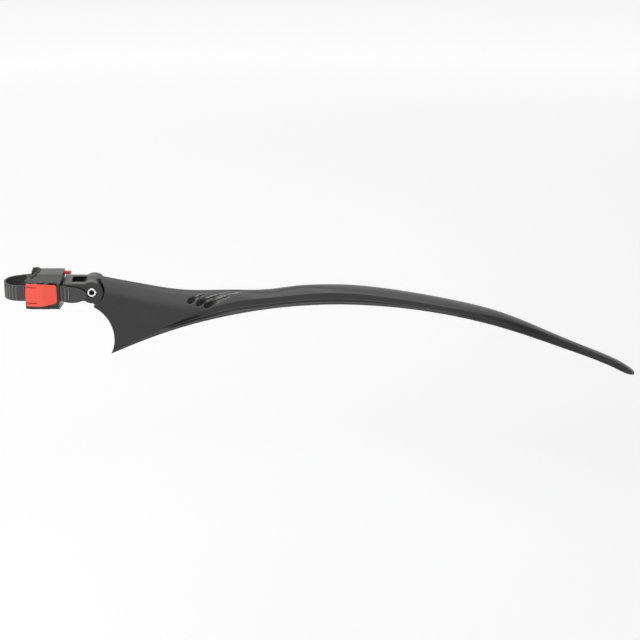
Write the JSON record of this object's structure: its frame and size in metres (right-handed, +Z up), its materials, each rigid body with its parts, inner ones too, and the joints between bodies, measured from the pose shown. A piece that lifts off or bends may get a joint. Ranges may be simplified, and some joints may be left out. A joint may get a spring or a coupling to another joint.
{
  "type": "bicycle mudguard",
  "caption": "Clip-on rear bicycle mudguard: a long arched blade with side gills on a tilting fork arm, held to the seat post by a ratchet strap clamp with a red release lever.",
  "frame": {"origin": "on the seat post's axis, at the middle of the ratchet strap's width", "axes": "+X to the rear along the blade, +Y to the far side from the release lever, +Z up along the seat post"},
  "size_m": [0.6059, 0.0512, 0.106],
  "materials": {
    "blade_plastic": "satin moulded black",
    "clamp_plastic": "finely grained black",
    "strap_plastic": "soft satin black",
    "pad_rubber": "matt rubber",
    "lever_red": "semi-gloss coral red",
    "gate_red": "semi-gloss crimson",
    "steel": "zinc plated"
  },
  "bodies": {
    "clamp": {"clamp_housing": "clamp_plastic", "saddle_pad": "pad_rubber", "ratchet_strap": "strap_plastic", "strap_pin": "steel", "spring_cap": "clamp_plastic", "gate_spring": "steel", "fork_arm": "clamp_plastic", "pivot_bolt": "steel", "bolt_washer": "steel", "pivot_nut": "steel"},
    "blade": {"blade": "blade_plastic"},
    "lever": {"release_lever": "lever_red"},
    "gate": {"release_gate": "gate_red"}
  },
  "joints": [
    {"name": "blade_tilt", "type": "hinge", "parent": "clamp", "child": "blade", "pos_m": [0.0675, 0, 0], "axis": [0, 1, 0], "range_deg": [-40, 35]},
    {"name": "lever_press", "type": "hinge", "parent": "clamp", "child": "lever", "pos_m": [0.0202, -0.0183, 0], "axis": [0, 0, -1], "range_deg": [0, 5], "stiffness_Nm_per_rad": 0.6},
    {"name": "gate_press", "type": "slide", "parent": "clamp", "child": "gate", "axis": [0, 0, -1], "range_m": [0, 0.002], "stiffness_N_per_m": 1500, "springref_m": -0.001, "deforming": ["gate_spring"]}
  ]
}
